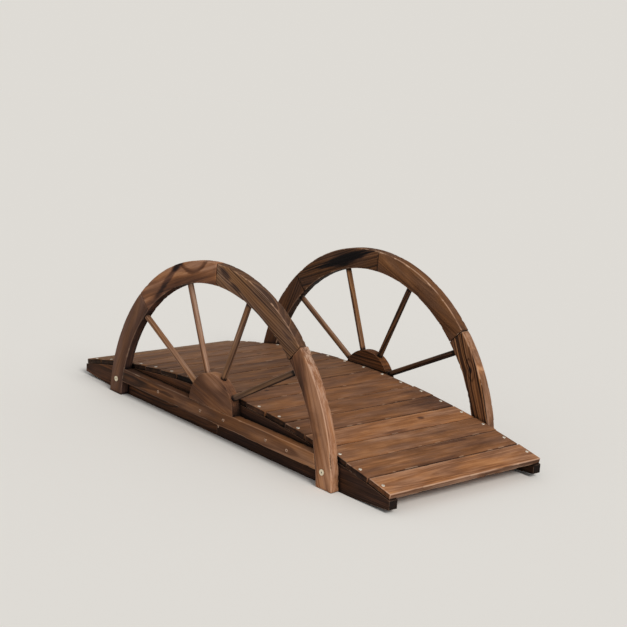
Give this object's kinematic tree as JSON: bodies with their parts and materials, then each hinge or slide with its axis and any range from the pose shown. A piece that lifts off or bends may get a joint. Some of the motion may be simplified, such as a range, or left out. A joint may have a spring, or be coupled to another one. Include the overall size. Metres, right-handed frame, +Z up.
{
  "type": "wooden garden footbridge",
  "caption": "Low arched garden footbridge of burnt-stained fir boards on two arched stringers, with spoked half-wheel railings standing on a straight rail along each side.",
  "frame": {"origin": "centre of the footprint on the ground, under the middle of the span", "axes": "+X along the walk, +Y across it towards the far railing, +Z up"},
  "size_m": [1.5, 0.6532, 0.522],
  "materials": {
    "deck_wood": "burnt and brown-stained fir, satin",
    "stringer_wood": "burnt and brown-stained fir, satin",
    "frame_wood": "burnt and brown-stained fir with dark grain, satin",
    "spoke_wood": "brown-stained turned dowel, satin",
    "zinc": "zinc plated, dull"
  },
  "bodies": {
    "root": {"deck_board_01": "deck_wood", "deck_board_02": "deck_wood", "deck_board_03": "deck_wood", "deck_board_04": "deck_wood", "deck_board_05": "deck_wood", "deck_board_06": "deck_wood", "deck_board_07": "deck_wood", "deck_board_08": "deck_wood", "deck_board_09": "deck_wood", "deck_board_10": "deck_wood", "deck_board_11": "deck_wood", "deck_board_12": "deck_wood", "deck_board_13": "deck_wood", "deck_board_14": "deck_wood", "deck_board_15": "deck_wood", "deck_board_16": "deck_wood", "deck_board_17": "deck_wood", "near_stringer_left": "stringer_wood", "near_stringer_right": "stringer_wood", "near_rail": "frame_wood", "near_hub": "frame_wood", "near_felloe_1": "frame_wood", "near_felloe_2": "frame_wood", "near_felloe_3": "frame_wood", "near_felloe_4": "frame_wood", "near_spoke_1": "spoke_wood", "near_spoke_2": "spoke_wood", "near_spoke_3": "spoke_wood", "near_spoke_4": "spoke_wood", "far_stringer_left": "stringer_wood", "far_stringer_right": "stringer_wood", "far_rail": "frame_wood", "far_hub": "frame_wood", "far_felloe_1": "frame_wood", "far_felloe_2": "frame_wood", "far_felloe_3": "frame_wood", "far_felloe_4": "frame_wood", "far_spoke_1": "spoke_wood", "far_spoke_2": "spoke_wood", "far_spoke_3": "spoke_wood", "far_spoke_4": "spoke_wood", "near_foot_bolts": "zinc", "far_foot_bolts": "zinc"}
  },
  "joints": []
}
